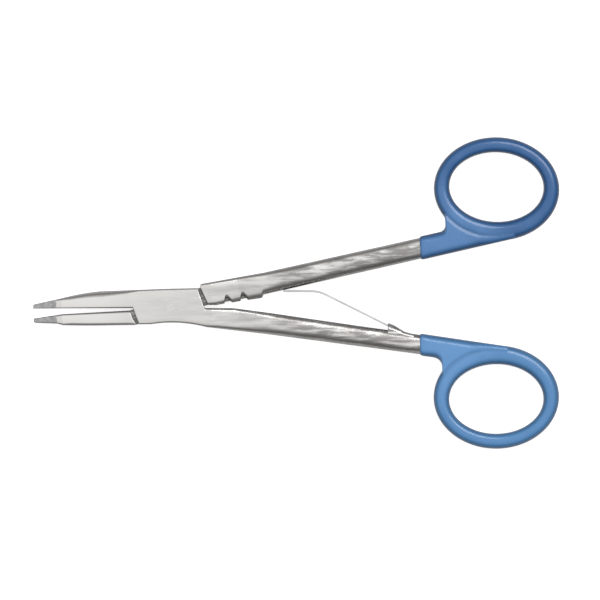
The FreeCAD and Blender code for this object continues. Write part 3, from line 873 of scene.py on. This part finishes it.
@dataclass
class BoxHalf(Half):
    """The half that holds the box: upper jaw, cheeks, lower shank and the spring's boss."""

    jaw: Jaw = Jaw(2.92, 3.3, 5.1, 0.33, 0.22)
    rise: float = 5.5
    boss_rises: tuple[Spot, ...] = ((62.9, 1.8), (63.15, 2.05), (64.8, 1.4), (67.8, -0.55))
    boss_back: float = 70.4
    boss_run: float = 8.0
    boss_sunk: float = 2.0
    boss_half: float = 1.95

    def lower_edge(self) -> Knots:
        """Inner face of the jaw, jaw slit, lower edge of the box and outer shank edge."""
        return (self.jaw.inner_knots() + [(-10.94, 0.03), (-9.22, -4.75), (-5.72, -4.75)]
                + bowed((-5.7, -4.75), (1.5, -4.42), (10.4, -5.9)) + SHANK.outer_knots())

    def upper_edge(self) -> Knots:
        """Outer edge of jaw and box, shank slit, crotch and inner shank edge."""
        return (self.jaw.outer_knots() + [(0.0, self.rise), (7.95, self.rise), (9.95, -0.35),
                                          (18.3, -0.55)] + SHANK.inner_knots(BOX_LOOP))

    def boss(self) -> Surface:
        """The boss: a short bar that stands on the inner edge and slopes off to the back."""
        (x0, y0), (x1, y1) = SHANK.inner_knots(BOX_LOOP)
        slope, front = (y1 - y0) / (x1 - x0), self.boss_rises[0][0]
        base = y0 + slope * (front - x0)
        end = base + slope * self.boss_run
        high = [(x, base + rise) for x, rise in self.boss_rises] + [(self.boss_back, end)]
        low = [(front, base - self.boss_sunk), (self.boss_back, end - self.boss_sunk)]
        # tone 0.95: the boss is painted almost all shade, darker than the shank beside it
        return Bar(low, high, [(0, self.boss_half)], [(0, 1.85)], [(0, 0.95)],
                   low_corner=[(0, 0.2)], spacing=0.25).surface()

    def build(self) -> Piece:
        """Make the steel of this half.

        Returns:
            The object, which stands for the solid of the same name.
        """
        bar = Bar(self.lower_edge(), self.upper_edge(), THICKNESS, OUTER_JAW + UPPER_EDGE,
                  PAINTED_SHADE, CROWN, low_corner=INNER_JAW + LOWER_EDGE, groove=GROOVE)
        piece = bar.surface().joined(self.boss()).to_object("box_half_steel", Side.BOX)
        self.dress(piece, Side.BOX, self.jaw.finger_root)
        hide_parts("box_half")
        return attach(piece, "box")


@dataclass
class PassHalf(Half):
    """The half that passes through the box: lower jaw, tongue and upper toothed shank."""

    # painted shade: dark steel for the tongue in the slits, where light hardly reaches
    slit_shade: SteelFinish = SteelFinish("slit_shade_steel", (0.4, 0.39, 0.38), (0.2, 0.2, 0.19),
                                      (0.2, 0.2, 0.19), 0.4)
    jaw: Jaw = Jaw(2.35, 2.95, 3.8, -0.27, 0.06)
    tongue_half: float = 0.95
    tooth_start: float = 13.2
    tooth_pitch: float = 4.7
    tooth_land: float = 3.0
    tooth_depth: float = 1.5
    tooth_slope: float = 0.5
    tooth_fall: float = 0.0851
    tooth_first: float = 0.2
    tooth_count: int = 3
    last_land_end: float = 26.6

    def teeth(self) -> Knots:
        """The row of teeth along the inner edge: a land, a steep step and a sloped way back."""
        knots = []
        for number in range(self.tooth_count):
            x = self.tooth_start + number * self.tooth_pitch
            y = self.tooth_first - self.tooth_fall * (x - self.tooth_start)
            end = y - self.tooth_fall * self.tooth_land
            knots += [(x, y), (x + self.tooth_land - self.tooth_slope, end),
                      (x + self.tooth_land, end - self.tooth_depth),
                      (x + self.tooth_land + self.tooth_slope, end - self.tooth_depth)]
        return knots[:-3] + [(self.last_land_end, y - self.tooth_fall * self.tooth_land)]

    def build(self) -> Piece:
        """Make the steel of this half.

        Returns:
            The object, which stands for the solid of the same name.
        """
        jaw = Bar(self.jaw.inner_knots() + [(-11.84, 0.03), (-10.25, 4.4)],
                  self.jaw.outer_knots() + [(-10.25, 4.4)], THICKNESS,
                  [(x, min(r, 0.85)) for x, r in OUTER_JAW], PAINTED_SHADE, CROWN,
                  low_corner=[(x, 1.7 * r) for x, r in INNER_JAW], groove=GROOVE).surface()
        shank = Bar([(8.96, -5.2), (9.2, -6.2)] + SHANK.outer_knots(),
                    [(8.96, -5.15), (10.85, 0.0)] + self.teeth() + PASS_STEP
                    + SHANK.inner_knots(PASS_LOOP),
                    THICKNESS, LOWER_EDGE, PAINTED_SHADE, CROWN, low_corner=UPPER_EDGE,
                    spine=[(8.96, 0.0)] + SHANK.inner_knots(PASS_LOOP), spacing=0.4).surface()
        piece = jaw.joined(shank).to_object("pass_half_steel", Side.PASS)
        self.dress(piece, Side.PASS, self.jaw.finger_root)
        self.tongue()
        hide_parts("pass_half")
        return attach(piece, "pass")

    def tongue(self) -> Piece:
        """The thin plate through the box, which runs on as a web behind the teeth.

        Returns:
            The object, in dark steel: painted shade where light hardly reaches.
        """
        # tone 1.0: the whole plate takes the painted shade colour
        plate = Bar([(-12.03, 0.03), (9.15, -5.2), (26.3, -3.2)],
                    [(-12.03, 0.03), (-10.47, 4.3), (11.04, 0.0), (26.3, -1.6)],
                    [(-20, self.tongue_half)], [(-20, 0.1)], [(-20, 1.0)]).surface()
        piece = plate.to_object("pass_half_tongue", Side.PASS)
        piece.data.materials.append(self.slit_shade.material(Side.PASS))
        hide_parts("pass_half")
        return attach(piece, "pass")


@dataclass
class RingCoating:
    """The dipped coating on one ring and the end of its shank."""

    side: Side
    loop: Loop
    finish: DippedFinish
    node: str
    half_height: float = 2.7
    fullness: float = 2.5
    start: float = SHANK.coating_start
    web_radius: float = 3.0
    web_shift: float = 0.0
    lip: float = 0.9
    voxel: float = 0.22
    sunk: float = 2.2

    def ring(self) -> Surface:
        """The closed band between the opening and the outline.

        At each angle the section is a superellipse: as wide as the way from the opening to
        the outline and as high as the coating.

        Returns:
            The closed surface.
        """
        around = np.linspace(0, 2 * math.pi, 240, endpoint=False)
        inner, outer = self.loop.opening().at(around), self.loop.outline().at(around)
        across, up = superellipse(48, 2 / self.fullness)
        middle, half = (inner + outer) / 2, (outer - inner) / 2
        plan = middle[:, None] + half[:, None] * across[:, None]
        return woven(plan[..., 0], plan[..., 1], up * self.half_height, closed=True)

    def web(self) -> Knots:
        """Lower edge of the shank end with the round corner that runs into the ring.

        The corner's centre is a web radius away from both the shank's outer edge and the
        ring's outline: among the outline's points, moved out by that radius, it is the one
        whose distance to the edge comes closest to the radius. The web shift then slides the
        corner along the edge.

        Returns:
            Knots from the coating's start into the ring.
        """
        slope = SHANK.outer_slope()
        angle = np.linspace(math.pi / 2, math.pi * 1.1, 2000)
        oval = self.loop.outline().at(angle)
        normal = normals(oval)
        inward = np.einsum("ij,ij->i", normal, np.array(self.loop.outline().centre) - oval)
        centres = oval - normal * self.web_radius * np.sign(inward)[:, None]
        edge = SHANK.coated_edge(centres[:, 0])
        away = (edge - centres[:, 1]) / math.hypot(1, slope)
        best = int(np.argmin(np.abs(away - self.web_radius)))
        cx, cy = centres[best] + self.web_shift * np.array([1.0, slope])
        touch = cx - self.web_radius * slope / math.hypot(1, slope)
        x = np.linspace(max(touch, self.start + 1.2), cx + self.web_radius * 0.985, 14)
        y = cy + np.sqrt(np.maximum(self.web_radius ** 2 - (x - cx) ** 2, 0))
        return knotted(x, y)

    def inside_band(self, start: float, end: float) -> Knots:
        """Knots that follow the upper left of the outline, sunk into the band.

        Args:
            start: First x.
            end: Last x.

        Returns:
            Knots from start to end.
        """
        oval = self.loop.outline().at(np.linspace(math.pi, math.pi / 4, 400))
        x = np.linspace(start, end, 16)
        y = np.interp(x, oval[:, 0], oval[:, 1]) - self.sunk
        return knotted(x, y)

    def shank_end(self) -> Surface:
        """The coated end of the shank, from its soft lip to inside the ring."""
        web, start = self.web(), self.start
        foot = (SHANK.flat_end, SHANK.inner + SHANK.coating)
        slope_in, end = self.loop.outline().touched_from(foot)
        grow = np.linspace(0, 1, 8)
        cover = SHANK.coating * (np.sqrt(1 - (1 - grow) ** 2) - 1)
        lip_x = start + grow * self.lip
        low = (knotted(lip_x, SHANK.coated_edge(lip_x) - cover) + web
               + self.inside_band(web[-1][0] + 0.05, end))
        high = knotted(lip_x, foot[1] + slope_in * (lip_x - foot[0]) + cover)
        high.append((end, foot[1] + slope_in * (end - foot[0]) - 0.05))
        half = knotted(lip_x, self.half_height + cover) + [(end, self.half_height)]
        return Bar(low, high, half, [(start, 1.7), (start + 3, 2.1), (end, 2.3)],
                   [(start, 0), (end, 0)], crown=[(start, 0.15)], spacing=0.3).surface()

    def build(self) -> Piece:
        """Melt the ring and the shank end into one skin.

        Returns:
            The object, which stands for the coating's solid.
        """
        both = self.ring().joined(self.shank_end())
        both.values = {}
        piece = both.to_object(f"{self.node}_skin", self.side, 80.0)
        skin = piece.modifiers.new("one_skin", "REMESH")
        skin.mode = "VOXEL"
        skin.voxel_size = self.voxel * MM
        skin.use_smooth_shade = True
        soften = piece.modifiers.new("soften", "SMOOTH")
        soften.factor = 0.5
        soften.iterations = 6
        piece.data.materials.append(self.finish.material(self.side))
        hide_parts(self.node)
        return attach(piece, self.side.value)


@dataclass
class PivotPin:
    """The pin across the lock, faced flush with the cheeks."""

    finish: TurnedFinish
    radius: float = 1.3
    half_length: float = 2.785
    bevel: float = 0.1

    def build(self) -> Piece:
        """Turn the pin: a profile of radius and height carried round the axis.

        Returns:
            The object, which stands for the pin's solid.
        """
        r, h, b = self.radius, self.half_length, self.bevel
        profile = np.array([(0.02, -h), (0.5 * r, -h), (r - b, -h), (r, -h + b), (r, h - b),
                            (r - b, h), (0.5 * r, h), (0.02, h)])
        x, y = (profile[:, :1] * part for part in superellipse(64, 1.0))
        piece = woven(x, y, profile[:, 1:]).to_object("pivot_pin_turned", Side.BOX, 30.0)
        piece.data.materials.append(self.finish.material())
        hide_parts("pivot_pin")
        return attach(piece, "box")


@dataclass
class LeafSpring:
    """The bent strip that holds the tool open."""

    finish: SpringFinish
    inside: Spot = (66.0, -7.95)
    root: Spot = (63.1, -6.4)
    bend: Spot = (43.2, 3.9)
    tip: Spot = (32.8, 4.2)
    bend_length: float = 2.2
    half_width: float = 1.3
    half_thickness: float = 0.3

    def middle_line(self) -> Points:
        """Points along the strip's middle: straight runs joined by a quadratic bend.

        The bend is the curve (1-t)^2 a + 2 t (1-t) corner + t^2 b between points a and b that
        lie a bend length before and after the corner.

        Returns:
            Array of x, y rows.
        """
        inside, corner, tip = (np.array(p) for p in (self.inside, self.bend, self.tip))
        first, second = (way / np.linalg.norm(way) for way in (corner - inside, tip - corner))
        a, b = corner - self.bend_length * first, corner + self.bend_length * second
        t = np.linspace(0, 1, 17)[:, None]
        curve = (1 - t) ** 2 * a + 2 * t * (1 - t) * corner + t ** 2 * b
        lead = inside + (a - inside) * np.linspace(0, 1, 60)[:-1, None]
        last = b + (tip - b) * np.linspace(0, 1, 24)[1:, None]
        return np.vstack([lead, curve, last])

    def build(self) -> Piece:
        """Carry a rounded strip section along the middle line.

        Each section lies across the line: its thickness follows the line's normal, its width
        is upright, and it is a superellipse of the eighth power.

        Returns:
            The object, with its place baked into its mesh.
        """
        line = self.middle_line()
        thick, wide = superellipse(32, 0.25)
        plan = line[:, None] + normals(line)[:, None] * (thick * self.half_thickness)[:, None]
        strip = woven(plan[..., 0], plan[..., 1], wide * self.half_width)
        piece = strip.to_object("leaf_spring_strip", Side.BOX, 25.0)
        piece.data.materials.append(self.finish.material())
        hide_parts("leaf_spring")
        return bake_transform(piece)


@dataclass
class Studio:
    """A white table under a soft light, seen straight from above."""

    view_width: float = 174.0
    centre: Spot = (37.59, 1.49)
    roll_degrees: float = -1.05
    camera_height: float = 0.6
    zenith_fade: tuple[float, ...] = (0.45, 0.95, 0.33, 1.0)
    front_fade: tuple[float, ...] = (-0.7, 0.0, 0.62, 1.0)
    table_reach: float = 1.2
    table_grey: float = 0.7
    camera_glow: float = 0.8
    glossy_glow: float = 0.08
    lamp_place: Triple = (0.26, 0.26, 0.5)
    lamp_aim: Triple = (0.04, 0.0, 0.0)
    lamp_size: Spot = (0.34, 0.26)
    lamp_watts: float = 1.2

    def world(self) -> None:
        """Light from a bright zenith that falls off to a dim horizon, dimmest in front.

        The room is white to the camera.
        """
        world = bpy.data.worlds.new("soft_room")
        bpy.context.scene.world = world
        world.use_nodes = True
        world.node_tree.nodes.clear()
        bench = NodeBench(world.node_tree)
        toward = bench.node("ShaderNodeTexCoord").outputs["Generated"]
        split = bench.node("ShaderNodeSeparateXYZ", Vector=toward).outputs
        light = bench.maths("MULTIPLY", bench.ramp(split["Z"], *self.zenith_fade),
                            bench.ramp(split["Y"], *self.front_fade))
        mix = bench.node("ShaderNodeMixShader",
                         Fac=bench.node("ShaderNodeLightPath").outputs["Is Camera Ray"])
        for socket, strength in ((mix.inputs[1], light), (mix.inputs[2], 1.0)):
            glow = bench.node("ShaderNodeBackground", Color=WHITE, Strength=strength)
            bench.fill(socket, glow.outputs["Background"])
        bench.node("ShaderNodeOutputWorld", Surface=mix.outputs["Shader"])

    def floor(self) -> None:
        """The table top, white to the camera and with a faint shadow."""
        mesh = bpy.data.meshes.new("table_top")
        r = self.table_reach
        mesh.from_pydata([(-r, -r, 0), (r, -r, 0), (r, r, 0), (-r, r, 0)], [], [(0, 1, 2, 3)])
        bench = MaterialBench.named("white_table")
        path = bench.node("ShaderNodeLightPath").outputs
        seen = bench.maths("ADD", *(
            bench.ramp(path[ray], 0.0, 1.0, 0.0, glow) for ray, glow in (
                ("Is Camera Ray", self.camera_glow), ("Is Glossy Ray", self.glossy_glow))))
        mesh.materials.append(bench.finished(
            Base_Color=(self.table_grey,) * 3, Roughness=0.9, Specular_IOR_Level=0.0,
            Emission_Color=WHITE, Emission_Strength=seen))
        top = linked("table_top", mesh)

    def lamp(self) -> None:
        """One large soft lamp, high on the right and behind."""
        data = bpy.data.lights.new("softbox", "AREA")
        data.shape = "RECTANGLE"
        data.size, data.size_y = self.lamp_size
        data.energy = self.lamp_watts
        lamp = linked("softbox", data)
        lamp.location = self.lamp_place
        x, y, z = np.array(self.lamp_aim) - np.array(lamp.location)
        lamp.rotation_euler = (math.atan2(math.hypot(x, y), -z), 0.0, math.atan2(-x, y))

    def camera(self) -> None:
        """Look straight down, with the picture turned a little against the box half."""
        data = bpy.data.cameras.new("portrait")
        data.type = "ORTHO"
        data.ortho_scale = self.view_width * MM
        camera = linked("portrait", data)
        camera.location = (self.centre[0] * MM, self.centre[1] * MM, self.camera_height)
        camera.rotation_euler = (0.0, 0.0, math.radians(self.roll_degrees))
        bpy.context.scene.camera = camera

    def set_up(self) -> None:
        """Put the whole studio in place."""
        bpy.context.scene.view_settings.view_transform = "Standard"
        self.world()
        self.floor()
        self.lamp()
        self.camera()


def main() -> None:
    """Build every piece in order and report it."""
    logging.basicConfig(level=logging.INFO, format="%(message)s")
    steel, fingers = SteelFinish("satin_steel"), DarkFingerFinish()
    lower_blue = DippedFinish("dipped_blue_lower", (0.125, 0.335, 0.68), (0.085, 0.27, 0.57),
                              (79.5, -17.0, MID_HEIGHT))
    # painted shade: the upper ring's blue is a darker copy of the lower ring's
    shaded_upper_blue = DippedFinish("dipped_blue_shaded_upper", (0.085, 0.24, 0.53), (0.022, 0.118, 0.33),
                              (80.5, 19.5, MID_HEIGHT))
    makers = (
        BoxHalf(steel, fingers),
        PassHalf(steel, fingers),
        PivotPin(TurnedFinish()),
        LeafSpring(SpringFinish()),
        RingCoating(Side.BOX, BOX_LOOP, lower_blue, "lower_ring_coating", start=72.1),
        RingCoating(Side.PASS, PASS_LOOP, shaded_upper_blue, "upper_ring_coating", web_radius=2.0,
                    web_shift=-0.9),
    )
    for maker in makers:
        piece = maker.build()
        LOG.info("%s: %d faces", piece.name, len(piece.data.polygons))
    Studio().set_up()


if __name__ == "__main__":
    main()
